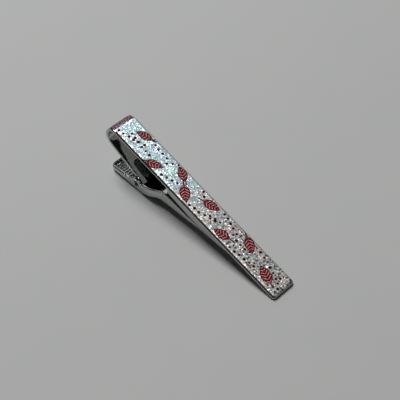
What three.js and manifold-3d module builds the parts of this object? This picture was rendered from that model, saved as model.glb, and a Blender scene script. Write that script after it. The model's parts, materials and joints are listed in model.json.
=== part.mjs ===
// A spring tie clip: a folded metal bar with a decorated face, and a sprung lever with a toothed jaw.
// Millimetres, +Z up. The clip lies as it does on a table, on the ribs of its thumb pad and on the tip
// of its bar, so the bar slopes down towards +X. The hinge pin runs along Y.

import * as THREE from 'three';
import { mergeVertices } from 'three/addons/utils/BufferGeometryUtils.js';
import Module from 'manifold-3d';

const wasm = await Module();
wasm.setup();

const { degToRad, smoothstep } = THREE.MathUtils;

// Folded bar: one strip makes the front bar, the fold and the leg
const BAR_LENGTH = 55;
const BAR_WIDTH = 6.5;
const STRIP_THICKNESS = 0.8;
const STRIP_EDGE_ROUNDING = 0.36;
const TIP_CORNER_RADIUS = 0.7;
const FOLD_OUTER_RADIUS = 3;
const LEG_SLOPE = degToRad(13);
const LEG_TO_PIN = 10.6;
const LEG_PAST_PIN = 2.2;
const LUG_THICKNESS = 0.8;
const LUG_WALL = 0.8;

// Decorated film on the face of the bar
const FILM_THICKNESS = 0.2;
const FILM_GLUE_LINE = 0.02;
const FILM_BORDER = 0.25;
const FILM_WRAP = degToRad(42);

// Hinge pin and leaf spring
const PIN_DIAMETER = 1.3;
const PIN_RECESS = 0.12;
const PIN_DIMPLE = 0.25;
const PIN_CHAMFER = 0.12;
const PRESS_CLEARANCE = 0.02;
const RUNNING_CLEARANCE = 0.05;
const SPRING_THICKNESS = 0.3;
const SPRING_PLAY = 0.08;
const SPRING_SEAT_GAP = 0.1;
const SPRING_SIDE_GAP = 0.3;
const SPRING_UPPER_ARM = 6.5;
const SPRING_LOWER_REACH = 3.6;

// Lever: one stamping with a thumb pad, two ears, a neck and a jaw
const SHEET_THICKNESS = 0.5;
const SHEET_BEND_RADIUS = 0.6;
const EAR_SIDE_CLEARANCE = 0.1;
const EAR_WALL = 0.85;
const EAR_COUNTERSINK = 0.14;
const EAR_FLANK_ANGLE = degToRad(140);
const EAR_FLANK_EASE = 0.9;
const EAR_THROAT_ANGLE = degToRad(50);
const EAR_THROAT_EASE = 1.1;
const THROAT_SLOPE = degToRad(24);
const THROAT_EASE = 3.3;
const WEB_CLEARANCE = 0.15;
const PAD_REACH = 9.3;
const PAD_CORNER_RADIUS = 1.3;
const PAD_END_WALL = 1.2;
const PAD_HEEL_WALL = 1.8;
const PAD_WALL_LENGTH = 5;
const PAD_HEEL_EASE = 1.3;
const RIB_COUNT = 6;
const RIB_PITCH = 0.95;
const RIB_RADIUS = 0.4;
const RIB_HEIGHT = 0.25;
const RIB_END_MARGIN = 0.7;
const RIB_INSET = 1.65;
const NECK_START = 1.2;
const NECK_END = 8.2;
const NECK_RISE = 2.05;
const NECK_WIDTH = 6.2;
const NARROWING_START = 3.4;
const ARM_SLOPE = degToRad(-1);
const LEVER_TIP_RADIUS = 0.8;

// Jaw: two toothed rims that close on the back of the bar
const JAW_WIDTH = 5.3;
const JAW_GAP = 0.1;
const JAW_START = 8;
const JAW_STRAIGHT = 9.5;
const JAW_TIP_HEIGHT = 1.1;
const JAW_CORNER_RADIUS = 0.5;
const RIM_ROOT = 0.1;
const LEDGE_DROP = 3.1;
const WEB_LIP = 0.2;
const NOTCH_DEPTH = 0.6;
const NOTCH_WIDTH = 1;
const REAR_NOTCH = 3;
const RELIEF_START = 5.1;
const RELIEF_LENGTH = 6.8;
const RELIEF_DEPTH = 0.35;
const FRONT_NOTCH_FROM_TIP = 3.9;
const FRONT_NOTCH_PITCH = 2.3;
const FRONT_NOTCH_COUNT = 2;

// Roundness of the faceted curves
const FOLD_SEGMENTS = 32;
const HOLE_SEGMENTS = 32;
const TIP_SEGMENTS = 8;
const DIMPLE_STEPS = 3;
const BEAD_SEGMENTS = 12;
const BEAD_CAP_STEPS = 2;
const NECK_STEPS = 14;
const CORNER_STEPS = 6;

// Cutting tools run this far past what they cut
const OVERCUT = 2;

// Sizes that follow from the ones above
const pinRadius = PIN_DIAMETER / 2;
const springInnerRadius = pinRadius + SPRING_PLAY;
const springOuterRadius = springInnerRadius + SPRING_THICKNESS;
const pinBelowLeg = springOuterRadius + SPRING_SEAT_GAP;
const lugRadius = pinRadius + PRESS_CLEARANCE + LUG_WALL;
const earRadius = pinRadius + RUNNING_CLEARANCE + EAR_WALL;
const webBottom = -(lugRadius + WEB_CLEARANCE + SHEET_THICKNESS);
const webTop = webBottom + SHEET_THICKNESS;
const padDrop = RIB_HEIGHT - webBottom;
const earHalfWidth = BAR_WIDTH / 2 + EAR_SIDE_CLEARANCE + SHEET_THICKNESS;

// The fold ends where the leg's slope is reached. The pin hangs below the leg, square to it.
const foldEndAngle = 1.5 * Math.PI - LEG_SLOPE;
const foldCentre = new THREE.Vector2(FOLD_OUTER_RADIUS, -FOLD_OUTER_RADIUS);
const legDirection = new THREE.Vector2(Math.cos(LEG_SLOPE), -Math.sin(LEG_SLOPE));
const legOutward = new THREE.Vector2(Math.cos(foldEndAngle), Math.sin(foldEndAngle));
const legStart = foldCentre.clone().addScaledVector(legOutward, FOLD_OUTER_RADIUS);
const legEnd = legStart.clone().addScaledVector(legDirection, LEG_TO_PIN + LEG_PAST_PIN);
const pinCentre = legStart.clone()
  .addScaledVector(legDirection, LEG_TO_PIN)
  .addScaledVector(legOutward, pinBelowLeg);

// The bar's tilt puts its tip and the pad's ribs on one level
const tipFromPin = new THREE.Vector2(BAR_LENGTH, -STRIP_THICKNESS).sub(pinCentre);
const tilt = Math.atan2(tipFromPin.y, tipFromPin.x) + Math.asin(padDrop / tipFromPin.length());
const backOfBar = -STRIP_THICKNESS - pinCentre.y;

// The lever ends where its arm comes so near to the bar that the jaw's rims have their tip height left
const rimTopAtPin = (backOfBar - JAW_GAP) / Math.cos(tilt);
const armTopAtPin = webTop + NECK_RISE - NECK_END * Math.tan(ARM_SLOPE);
const leverReach = (rimTopAtPin - armTopAtPin - JAW_TIP_HEIGHT) / (Math.tan(tilt) + Math.tan(ARM_SLOPE));
const jawMerge = leverReach - JAW_STRAIGHT;
const jawLength = (leverReach - (backOfBar - JAW_GAP) * Math.sin(tilt)) / Math.cos(tilt) - JAW_START;

function toSolid(geometry) {
  const bare = geometry.clone();
  bare.deleteAttribute('normal');
  bare.deleteAttribute('uv');
  const merged = mergeVertices(bare);
  return new wasm.Manifold(new wasm.Mesh({
    numProp: 3,
    vertProperties: Float32Array.from(merged.attributes.position.array),
    triVerts: Uint32Array.from(merged.index.array),
  }));
}

function toGeometry(solid) {
  const mesh = solid.getMesh();
  const geometry = new THREE.BufferGeometry();
  geometry.setAttribute('position', new THREE.BufferAttribute(mesh.vertProperties, 3));
  geometry.setIndex(new THREE.BufferAttribute(mesh.triVerts, 1));
  geometry.computeVertexNormals();
  return geometry;
}

// Extrudes an outline drawn in X and Z across the width, centred on Y = 0, with rounded side edges
function acrossWidth(outline, width, rounding = 0) {
  const geometry = new THREE.ExtrudeGeometry(outline, {
    depth: width - 2 * rounding,
    curveSegments: FOLD_SEGMENTS,
    bevelEnabled: rounding > 0,
    bevelThickness: rounding,
    bevelSize: rounding,
    bevelOffset: -rounding,
    bevelSegments: 1,
  });
  geometry.translate(0, 0, rounding - width / 2);
  geometry.rotateX(Math.PI / 2);
  return geometry;
}

// A point at an angle on a circle round the pin
function onCircle(radius, angle) {
  return new THREE.Vector2(Math.cos(angle), Math.sin(angle)).multiplyScalar(radius);
}

// A round bar along Y through the hinge
function alongPin(radius, length) {
  return new THREE.CylinderGeometry(radius, radius, length, HOLE_SEGMENTS);
}

// The strip seen from the side, between two distances in from its outer face: from the tip of the bar
// round the fold to the given angle, through the points of its tail, and back along the inner face
function stripOutline(outerFace, innerFace, endAngle, barEnd, tail) {
  const outline = new THREE.Shape();
  outline.moveTo(barEnd, -outerFace);
  outline.lineTo(foldCentre.x, -outerFace);
  outline.absarc(foldCentre.x, foldCentre.y, FOLD_OUTER_RADIUS - outerFace, Math.PI / 2, endAngle, false);
  for (const point of tail) {
    outline.lineTo(point.x, point.y);
  }
  outline.absarc(foldCentre.x, foldCentre.y, FOLD_OUTER_RADIUS - innerFace, endAngle, Math.PI / 2, true);
  outline.lineTo(barEnd, -innerFace);
  outline.closePath();
  return outline;
}

// A stock wider than the bar, seen from above, that narrows at the tip to the bar's rounded corners
function barPlan(width, barEnd) {
  const half = width / 2;
  const stock = half + OVERCUT;
  const cornerX = barEnd - TIP_CORNER_RADIUS;
  const cornerY = half - TIP_CORNER_RADIUS;
  const plan = new THREE.Shape();
  plan.moveTo(-OVERCUT, -stock);
  plan.lineTo(cornerX, -stock);
  plan.absarc(cornerX, -cornerY, TIP_CORNER_RADIUS, -Math.PI / 2, 0, false);
  plan.absarc(cornerX, cornerY, TIP_CORNER_RADIUS, 0, Math.PI / 2, false);
  plan.lineTo(cornerX, stock);
  plan.lineTo(-OVERCUT, stock);
  plan.closePath();
  const depth = 2 * BAR_LENGTH;
  const options = { depth, curveSegments: TIP_SEGMENTS, bevelEnabled: false };
  const geometry = new THREE.ExtrudeGeometry(plan, options);
  geometry.translate(0, 0, -depth / 2);
  return geometry;
}

function frontBarGeometry() {
  const innerLegEnd = legEnd.clone().addScaledVector(legOutward, -STRIP_THICKNESS);
  const outline = stripOutline(0, STRIP_THICKNESS, foldEndAngle, BAR_LENGTH, [legEnd, innerLegEnd]);
  let strip = toSolid(acrossWidth(outline, BAR_WIDTH, STRIP_EDGE_ROUNDING));
  strip = strip.intersect(toSolid(barPlan(BAR_WIDTH, BAR_LENGTH)));

  // Two lugs, bent down from the sides of the leg, hold the pin
  const lugTop = pinBelowLeg + STRIP_THICKNESS / 2;
  const lugOutline = new THREE.Shape();
  lugOutline.moveTo(lugRadius, lugTop);
  lugOutline.lineTo(-lugRadius, lugTop);
  lugOutline.absarc(0, 0, lugRadius, Math.PI, 2 * Math.PI, false);
  lugOutline.closePath();
  for (const side of [-1, 1]) {
    const lug = acrossWidth(lugOutline, LUG_THICKNESS);
    lug.translate(0, side * (BAR_WIDTH - LUG_THICKNESS) / 2, 0);
    lug.rotateY(LEG_SLOPE);
    lug.translate(pinCentre.x, 0, pinCentre.y);
    strip = strip.add(toSolid(lug));
  }
  const bore = alongPin(pinRadius + PRESS_CLEARANCE, BAR_WIDTH + OVERCUT);
  bore.translate(pinCentre.x, 0, pinCentre.y);
  return toGeometry(strip.subtract(toSolid(bore)));
}

function faceFilmGeometry() {
  const width = BAR_WIDTH - 2 * FILM_BORDER;
  const barEnd = BAR_LENGTH - FILM_BORDER;
  const underside = -FILM_GLUE_LINE;
  const face = underside - FILM_THICKNESS;
  const outline = stripOutline(face, underside, Math.PI / 2 + FILM_WRAP, barEnd, []);
  const film = toSolid(acrossWidth(outline, width));
  return toGeometry(film.intersect(toSolid(barPlan(width, barEnd))));
}

// A round pin with a shallow dimple in each end
function hingePinGeometry() {
  const halfLength = earHalfWidth - PIN_RECESS;
  const rim = pinRadius - PIN_CHAMFER;
  const end = [];
  for (let step = 0; step <= DIMPLE_STEPS; step += 1) {
    const outward = step / DIMPLE_STEPS;
    end.push(new THREE.Vector2(rim * outward, halfLength - PIN_DIMPLE * (1 - outward ** 2)));
  }
  end.push(new THREE.Vector2(pinRadius, halfLength - PIN_CHAMFER));
  const otherEnd = end.map((point) => new THREE.Vector2(point.x, -point.y));
  return new THREE.LatheGeometry([...otherEnd, ...end.reverse()], HOLE_SEGMENTS);
}

// The spring lies under the leg, turns round the far side of the pin and presses on the pad
function leafSpringGeometry() {
  const upperSlope = LEG_SLOPE + tilt;
  const upperAngle = Math.PI / 2 - upperSlope;
  const seat = -webTop - SPRING_SEAT_GAP;
  const lowerSlope = Math.asin((seat - springOuterRadius) / SPRING_LOWER_REACH);
  const lowerAngle = lowerSlope - Math.PI / 2;
  const upperDirection = new THREE.Vector2(-Math.cos(upperSlope), Math.sin(upperSlope));
  const lowerDirection = new THREE.Vector2(-Math.cos(lowerSlope), -Math.sin(lowerSlope));
  const upperEnd = (radius) => onCircle(radius, upperAngle)
    .addScaledVector(upperDirection, SPRING_UPPER_ARM);
  const lowerEnd = (radius) => onCircle(radius, lowerAngle)
    .addScaledVector(lowerDirection, SPRING_LOWER_REACH);
  const outline = new THREE.Shape();
  outline.moveTo(upperEnd(springOuterRadius).x, upperEnd(springOuterRadius).y);
  outline.absarc(0, 0, springOuterRadius, upperAngle, lowerAngle, true);
  outline.lineTo(lowerEnd(springOuterRadius).x, lowerEnd(springOuterRadius).y);
  outline.lineTo(lowerEnd(springInnerRadius).x, lowerEnd(springInnerRadius).y);
  outline.absarc(0, 0, springInnerRadius, lowerAngle, upperAngle, false);
  outline.lineTo(upperEnd(springInnerRadius).x, upperEnd(springInnerRadius).y);
  outline.closePath();
  return acrossWidth(outline, BAR_WIDTH - 2 * LUG_THICKNESS - 2 * SPRING_SIDE_GAP);
}

// Half the lever's outer width at a distance from the pin: ears, neck, then a taper into the jaw
function leverHalfWidth(x) {
  const neckHalf = NECK_WIDTH / 2;
  const jawHalf = JAW_WIDTH / 2;
  if (x <= NECK_END) {
    return THREE.MathUtils.lerp(earHalfWidth, neckHalf, smoothstep(x, NARROWING_START, NECK_END));
  }
  const along = Math.min(1, (x - NECK_END) / (jawMerge - NECK_END));
  return THREE.MathUtils.lerp(neckHalf, jawHalf, along);
}

// The underside of the lever: flat pad, rising neck, then a nearly level arm
function leverBottom(x) {
  const slopeRise = Math.max(0, x - NECK_END) * Math.tan(ARM_SLOPE);
  return webBottom + NECK_RISE * smoothstep(x, NECK_START, NECK_END) + slopeRise;
}

// One slice of the lever's outer form, or of its hollow when inset by the sheet's thickness
function leverSlice(x, halfWidth, inset) {
  const stock = backOfBar;
  const bottom = leverBottom(x) + inset;
  const radius = SHEET_BEND_RADIUS - inset;
  const points = [new THREE.Vector3(x, halfWidth, stock), new THREE.Vector3(x, -halfWidth, stock)];
  for (const side of [-1, 1]) {
    for (let step = 0; step <= CORNER_STEPS; step += 1) {
      const turn = (side < 0 ? step : CORNER_STEPS - step) / CORNER_STEPS * Math.PI / 2;
      const y = side * (halfWidth - radius + radius * Math.cos(turn));
      points.push(new THREE.Vector3(x, y, bottom + radius - radius * Math.sin(turn)));
    }
  }
  return points;
}

// Joins slices of equal point count into one closed body
function loft(slices) {
  const count = slices[0].length;
  const positions = slices.flat().flatMap((point) => point.toArray());
  const index = [];
  const last = (slices.length - 1) * count;
  for (let slice = 0; slice < slices.length - 1; slice += 1) {
    for (let point = 0; point < count; point += 1) {
      const a = slice * count + point;
      const b = slice * count + (point + 1) % count;
      index.push(a, b, a + count, b, b + count, a + count);
    }
  }
  for (let point = 1; point < count - 1; point += 1) {
    index.push(0, point + 1, point);
    index.push(last, last + point, last + point + 1);
  }
  const geometry = new THREE.BufferGeometry();
  geometry.setAttribute('position', new THREE.Float32BufferAttribute(positions, 3));
  geometry.setIndex(index);
  return geometry;
}

// The lever's outer form with inset 0, or its hollow with the sheet's thickness as inset
function leverForm(inset) {
  const padEnd = -PAD_REACH + inset;
  const padRadius = PAD_CORNER_RADIUS - inset;
  const tip = leverReach + (inset > 0 ? OVERCUT : 0);
  const slices = [];
  for (let step = 0; step <= CORNER_STEPS; step += 1) {
    const turn = step / CORNER_STEPS * Math.PI / 2;
    const x = padEnd + padRadius * (1 - Math.cos(turn));
    slices.push(leverSlice(x, earHalfWidth - inset - padRadius * (1 - Math.sin(turn)), inset));
  }
  for (let step = 0; step <= NECK_STEPS; step += 1) {
    const x = THREE.MathUtils.lerp(NECK_START, NECK_END, step / NECK_STEPS);
    slices.push(leverSlice(x, leverHalfWidth(x) - inset, inset));
  }
  slices.push(leverSlice(jawMerge, leverHalfWidth(jawMerge) - inset, inset));
  for (let step = 0; step <= CORNER_STEPS; step += 1) {
    const turn = step / CORNER_STEPS * Math.PI / 2;
    const x = tip - LEVER_TIP_RADIUS * (1 - Math.sin(turn));
    slices.push(leverSlice(x, leverHalfWidth(x) - inset - LEVER_TIP_RADIUS * (1 - Math.cos(turn)), inset));
  }
  return toSolid(loft(slices));
}

// Everything below the top edge of the lever's side walls, seen from the side: the pad's low wall, the
// ears round the pin, the dip of the throat, the ledge under the jaw's rims, and a low lip to the tip
function wallTrimGeometry() {
  const alongEar = (angle) => new THREE.Vector2(Math.sin(angle), -Math.cos(angle));
  const earFrom = onCircle(earRadius, EAR_FLANK_ANGLE);
  const earTo = onCircle(earRadius, EAR_THROAT_ANGLE);
  const flankEase = earFrom.clone().addScaledVector(alongEar(EAR_FLANK_ANGLE), -EAR_FLANK_EASE);
  const throatEase = earTo.clone().addScaledVector(alongEar(EAR_THROAT_ANGLE), EAR_THROAT_EASE);
  const heel = new THREE.Vector2(PAD_WALL_LENGTH - PAD_REACH, webBottom + PAD_HEEL_WALL);
  const jawBase = jawPoint(0, LEDGE_DROP);
  const jawEase = jawBase.clone().sub(onCircle(THROAT_EASE, THROAT_SLOPE));
  const lipAt = (x) => leverBottom(x) + SHEET_THICKNESS + WEB_LIP;
  const lipStart = jawBase.x
    + (jawBase.y - lipAt(jawBase.x)) / (Math.tan(tilt) + Math.tan(ARM_SLOPE));
  const end = leverReach + OVERCUT;
  const start = -PAD_REACH - OVERCUT;
  const outline = new THREE.Shape();
  outline.moveTo(start, -backOfBar);
  outline.lineTo(end, -backOfBar);
  outline.lineTo(end, lipAt(end));
  outline.lineTo(lipStart, lipAt(lipStart));
  outline.lineTo(jawBase.x, jawBase.y);
  outline.bezierCurveTo(jawEase.x, jawEase.y, throatEase.x, throatEase.y, earTo.x, earTo.y);
  outline.absarc(0, 0, earRadius, EAR_THROAT_ANGLE, EAR_FLANK_ANGLE, false);
  outline.bezierCurveTo(flankEase.x, flankEase.y, heel.x + PAD_HEEL_EASE, heel.y, heel.x, heel.y);
  outline.lineTo(start, webBottom + PAD_END_WALL);
  outline.closePath();
  return acrossWidth(outline, 2 * earHalfWidth + OVERCUT);
}

// A point given by its distance along the back of the bar from the jaw's rear end, and below the bar
function jawPoint(along, below) {
  return new THREE.Vector2(JAW_START + along, backOfBar - below).rotateAround(new THREE.Vector2(), -tilt);
}

function jawOutline(corners) {
  const outline = new THREE.Shape();
  outline.setFromPoints(corners.map(([along, below]) => jawPoint(along, below)));
  return outline;
}

// One rim from just inside the web up to the back of the bar, with its rear corner rounded
function jawRimOutline() {
  const rearFoot = jawPoint(0, LEDGE_DROP);
  const rearBelow = jawPoint(0, JAW_GAP + JAW_CORNER_RADIUS);
  const rearCorner = jawPoint(0, JAW_GAP);
  const rearTop = jawPoint(JAW_CORNER_RADIUS, JAW_GAP);
  const seatAt = (x) => leverBottom(x) + SHEET_THICKNESS - RIM_ROOT;
  const tipTop = leverBottom(leverReach) + SHEET_THICKNESS + JAW_TIP_HEIGHT;
  const outline = new THREE.Shape();
  outline.moveTo(rearFoot.x, seatAt(rearFoot.x));
  outline.lineTo(leverReach, seatAt(leverReach));
  outline.lineTo(leverReach, tipTop);
  outline.lineTo(rearTop.x, rearTop.y);
  outline.quadraticCurveTo(rearCorner.x, rearCorner.y, rearBelow.x, rearBelow.y);
  outline.lineTo(rearFoot.x, rearFoot.y);
  outline.closePath();
  return outline;
}

function notchOutline(centre) {
  const half = NOTCH_WIDTH / 2;
  return jawOutline([[centre - half, 0], [centre - half, JAW_GAP], [centre, JAW_GAP + NOTCH_DEPTH],
    [centre + half, JAW_GAP], [centre + half, 0]]);
}

// The teeth are what two notches near the tip, a long relief and a rear notch leave standing
function toothCuts() {
  const relief = jawOutline([[RELIEF_START, 0], [RELIEF_START, JAW_GAP],
    [RELIEF_START + RELIEF_DEPTH, JAW_GAP + RELIEF_DEPTH],
    [RELIEF_START + RELIEF_LENGTH - RELIEF_DEPTH, JAW_GAP + RELIEF_DEPTH],
    [RELIEF_START + RELIEF_LENGTH, JAW_GAP], [RELIEF_START + RELIEF_LENGTH, 0]]);
  const cuts = [relief, notchOutline(REAR_NOTCH)];
  for (let notch = 0; notch < FRONT_NOTCH_COUNT; notch += 1) {
    cuts.push(notchOutline(jawLength - FRONT_NOTCH_FROM_TIP - notch * FRONT_NOTCH_PITCH));
  }
  return cuts.map((outline) => toSolid(acrossWidth(outline, JAW_WIDTH + OVERCUT)));
}

// A bead across the pad, with round ends: its outside stands proud below and its inside is a groove
function padBead(number, height) {
  const length = 2 * (earHalfWidth - SHEET_THICKNESS - RIB_END_MARGIN - RIB_RADIUS);
  const bead = new THREE.CapsuleGeometry(RIB_RADIUS, length, BEAD_CAP_STEPS, BEAD_SEGMENTS);
  bead.translate(-PAD_REACH + RIB_INSET + number * RIB_PITCH, 0, height + RIB_RADIUS - RIB_HEIGHT);
  return toSolid(bead);
}

function claspLeverGeometry() {
  let lever = leverForm(0).subtract(leverForm(SHEET_THICKNESS)).intersect(toSolid(wallTrimGeometry()));

  let rims = null;
  for (const side of [-1, 1]) {
    const rim = acrossWidth(jawRimOutline(), SHEET_THICKNESS);
    rim.translate(0, side * (JAW_WIDTH - SHEET_THICKNESS) / 2, 0);
    rims = rims ? rims.add(toSolid(rim)) : toSolid(rim);
  }
  for (const cut of toothCuts()) {
    rims = rims.subtract(cut);
  }
  lever = lever.add(rims);

  for (let number = 0; number < RIB_COUNT; number += 1) {
    lever = lever.add(padBead(number, webBottom)).subtract(padBead(number, webTop));
  }

  const hole = alongPin(pinRadius + RUNNING_CLEARANCE, 2 * earHalfWidth + OVERCUT);
  lever = lever.subtract(toSolid(hole));
  for (const side of [-1, 1]) {
    const mouth = pinRadius + RUNNING_CLEARANCE + EAR_COUNTERSINK;
    const throat = mouth - 2 * EAR_COUNTERSINK;
    const countersink = new THREE.CylinderGeometry(mouth, throat, 2 * EAR_COUNTERSINK, HOLE_SEGMENTS);
    countersink.rotateX(side > 0 ? 0 : Math.PI);
    countersink.translate(0, side * earHalfWidth - side * EAR_COUNTERSINK, 0);
    lever = lever.subtract(toSolid(countersink));
  }
  return toGeometry(lever);
}

const chrome = { color: 0xb9bcbb, roughness: 0.12, metalness: 1 };
const printedFilm = { color: 0xc9d3d8, roughness: 0.35, metalness: 0.6 };
const pinSteel = { color: 0x55565a, roughness: 0.35, metalness: 1 };
const springSteel = { color: 0x8d9094, roughness: 0.3, metalness: 1 };

function piece(name, geometry, finish) {
  const mesh = new THREE.Mesh(geometry, new THREE.MeshStandardMaterial(finish));
  mesh.name = name;
  return mesh;
}

// The folded bar is drawn from the outer end of its fold, then hung on the pin at its tilt
const fold = new THREE.Group();
fold.add(piece('front_bar', frontBarGeometry(), chrome));
fold.add(piece('face_film', faceFilmGeometry(), printedFilm));
fold.position.set(-pinCentre.x, 0, -pinCentre.y).applyAxisAngle(new THREE.Vector3(0, 1, 0), tilt);
fold.rotation.y = tilt;

const clip = new THREE.Group();
clip.add(fold);
clip.add(piece('hinge_pin', hingePinGeometry(), pinSteel));
clip.add(piece('leaf_spring', leafSpringGeometry(), springSteel));
clip.add(piece('clasp_lever', claspLeverGeometry(), chrome));

// The origin lies on the table, under the middle of the clip
const reach = new THREE.Box3().setFromObject(clip, true);
clip.position.set(-(reach.min.x + reach.max.x) / 2, 0, -reach.min.z);

export default clip;
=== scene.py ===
# %% [markdown]
# # A spring tie clip
# The clip is a strip of plated metal, folded back on itself into a short sloping leg, with a stamped
# lever hung on a pin under the leg. A leaf spring keeps the lever's toothed jaw shut on the back of the
# bar. The front of the bar carries a glittering printed film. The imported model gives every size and
# place, so this lesson first loads it and reads from it where the bar and the hinge pin are.

# %% Load the frame
import json
import math

import bmesh
import bpy
from mathutils import Matrix, Quaternion, Vector


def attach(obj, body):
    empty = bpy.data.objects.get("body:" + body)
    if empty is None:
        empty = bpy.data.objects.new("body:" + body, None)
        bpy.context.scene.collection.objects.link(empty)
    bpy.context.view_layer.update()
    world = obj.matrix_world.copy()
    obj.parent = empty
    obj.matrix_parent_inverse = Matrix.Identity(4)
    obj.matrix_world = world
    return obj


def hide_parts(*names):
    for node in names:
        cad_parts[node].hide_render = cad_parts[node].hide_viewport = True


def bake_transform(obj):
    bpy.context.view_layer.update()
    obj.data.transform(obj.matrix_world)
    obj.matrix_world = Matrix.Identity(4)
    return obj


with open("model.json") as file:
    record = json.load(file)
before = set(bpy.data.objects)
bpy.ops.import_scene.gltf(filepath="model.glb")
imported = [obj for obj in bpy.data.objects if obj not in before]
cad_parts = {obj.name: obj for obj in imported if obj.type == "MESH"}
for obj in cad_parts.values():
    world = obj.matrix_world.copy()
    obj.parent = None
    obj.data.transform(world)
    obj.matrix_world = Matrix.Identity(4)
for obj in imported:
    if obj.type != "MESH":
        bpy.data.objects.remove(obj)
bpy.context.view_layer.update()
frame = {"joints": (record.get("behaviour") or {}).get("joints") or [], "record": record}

MM = 0.001
CLOSE = 0.01

# %% [markdown]
# ## Two working frames
# Most of the clip is easiest to draw in one of two frames. The folded bar is drawn lying level, with its
# fold at x = 0 and its face at z = 0, and then tilted as it lies on the table. The lever, the pin and the
# spring are drawn round the pin. The record's mount on the front face tells how the bar is tilted, and
# the record's joint tells where the pin is.

# %% The bar's frame and the pin's place
FILM_TOP = 0.22
MOUNT_ALONG_BAR = 30

front_face = next(mount for mount in frame["record"]["mounts"] if mount["name"] == "front_face")
face_normal = Vector(front_face["axis"])
tilt = math.atan2(face_normal.x, face_normal.z)
bar_to_row = (
    Matrix.Translation(Vector(front_face["pos_m"]))
    @ Matrix.Rotation(tilt, 4, "Y")
    @ Matrix.Translation(-Vector((MOUNT_ALONG_BAR, 0, FILM_TOP)) * MM)
)
pin_place = Vector(frame["joints"][0]["pos_m"])
pin_to_row = Matrix.Translation(pin_place)
pin_in_bar = (bar_to_row.inverted() @ pin_place) / MM
print("bar tilted by", round(math.degrees(tilt), 2), "degrees; pin in the bar's frame:", pin_in_bar[:])

# %% [markdown]
# ## The camera
# The photograph looks down on the clip from its tip end, a little over 50 degrees above the table and
# quite close, so the perspective is visible. The camera is placed by its direction and distance from the
# middle of the bar's face, and moved sideways by less than half a millimetre to frame it as there.

# %% Camera
AZIMUTH = math.radians(46.69)
ELEVATION = math.radians(50.61)
ROLL = math.radians(-0.56)
DISTANCE = 199
LENS = 81
NEAREST_SEEN = 0.01
MIDDLE_OF_BAR = 27.5
FRAMING = (0.45, 0.12)
SIDE_SHIFT = -0.12

back = Vector((
    math.sin(AZIMUTH) * math.cos(ELEVATION),
    -math.cos(AZIMUTH) * math.cos(ELEVATION),
    math.sin(ELEVATION),
))
right = Vector((0, 0, 1)).cross(back).normalized()
up = back.cross(right)
aim = bar_to_row @ (Vector((MIDDLE_OF_BAR, SIDE_SHIFT, FILM_TOP)) * MM)
aim += (right * FRAMING[0] + up * FRAMING[1]) * MM

camera_data = bpy.data.cameras.new("camera")
camera_data.lens = LENS
camera_data.clip_start = NEAREST_SEEN
camera = bpy.data.objects.new("camera", camera_data)
camera.location = aim + back * DISTANCE * MM
camera.rotation_mode = "QUATERNION"
camera.rotation_quaternion = (-back).to_track_quat("-Z", "Y") @ Quaternion((0, 0, 1), ROLL)
bpy.context.scene.collection.objects.link(camera)
bpy.context.scene.camera = camera
print("camera at", [round(value, 4) for value in camera.location])

# %% [markdown]
# ## Helpers for working as by hand
# Each piece starts as a primitive and is shaped in edit mode. An operator works on whatever is selected,
# so these helpers clear the selection, start a piece, pick faces or edges by a test on their place or
# normal, and apply a finished modifier. A place counts as met within a hundredth of a millimetre.

# %% Helpers to start a piece
def begin(name):
    """Names the active object, puts its place and size into its mesh and opens edit mode."""
    piece = bpy.context.object
    piece.name = name
    piece.data.name = name
    bpy.ops.object.transform_apply(location=True, rotation=True, scale=True)
    bpy.ops.object.mode_set(mode="EDIT")
    return piece


def start_box(name, low, high):
    """Adds a box between two corners in millimetres and leaves it in edit mode."""
    bpy.ops.object.select_all(action="DESELECT")
    low, high = Vector(low) * MM, Vector(high) * MM
    bpy.ops.mesh.primitive_cube_add(size=1, location=(low + high) / 2, scale=high - low)
    return begin(name)


def start_rod(name, radius, length, sides):
    """Adds a round bar along Y in millimetres and leaves it in edit mode."""
    bpy.ops.object.select_all(action="DESELECT")
    bpy.ops.mesh.primitive_cylinder_add(
        vertices=sides, radius=radius * MM, depth=length * MM, rotation=(math.pi / 2, 0, 0))
    return begin(name)


def start_plate(name, outline, near, far):
    """Adds a plate between two distances across, from an outline in X and Z in millimetres."""
    bpy.ops.object.select_all(action="DESELECT")
    bpy.ops.mesh.primitive_circle_add(vertices=len(outline), fill_type="NGON")
    piece = begin(name)
    mesh = bmesh.from_edit_mesh(piece.data)
    mesh.verts.ensure_lookup_table()
    for vertex, (x, z) in zip(mesh.verts, outline):
        vertex.co = Vector((x, near, z)) * MM
    bmesh.update_edit_mesh(piece.data)
    bpy.ops.mesh.select_all(action="SELECT")
    extrude(0, far - near, 0)
    bpy.ops.mesh.select_all(action="SELECT")
    bpy.ops.mesh.normals_make_consistent(inside=False)
    return piece


print("a piece can start as a box, a rod or a plate")

# %% Helpers to shape a piece
FACING = 0.99


def pick(kind, test):
    """Selects only the faces or edges of the edited mesh that pass a test."""
    modes = {"faces": "FACE", "edges": "EDGE"}
    bpy.ops.mesh.select_mode(type=modes[kind])
    bpy.ops.mesh.select_all(action="DESELECT")
    mesh = bmesh.from_edit_mesh(bpy.context.object.data)
    mesh.normal_update()
    for item in getattr(mesh, kind):
        if test(item):
            item.select_set(True)
    mesh.select_flush_mode()
    bmesh.update_edit_mesh(bpy.context.object.data)


def middle(edge):
    """The middle of an edge, in millimetres."""
    return (edge.verts[0].co + edge.verts[1].co) / 2 / MM


def extrude(x, y, z):
    """Extrudes the selection by a step in millimetres."""
    bpy.ops.mesh.extrude_region_move(TRANSFORM_OT_translate={"value": (x * MM, y * MM, z * MM)})


def bevel(width, steps):
    """Rounds the selected edges, by a width in millimetres."""
    bpy.ops.mesh.bevel(offset=width * MM, segments=steps, affect="EDGES")


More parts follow.
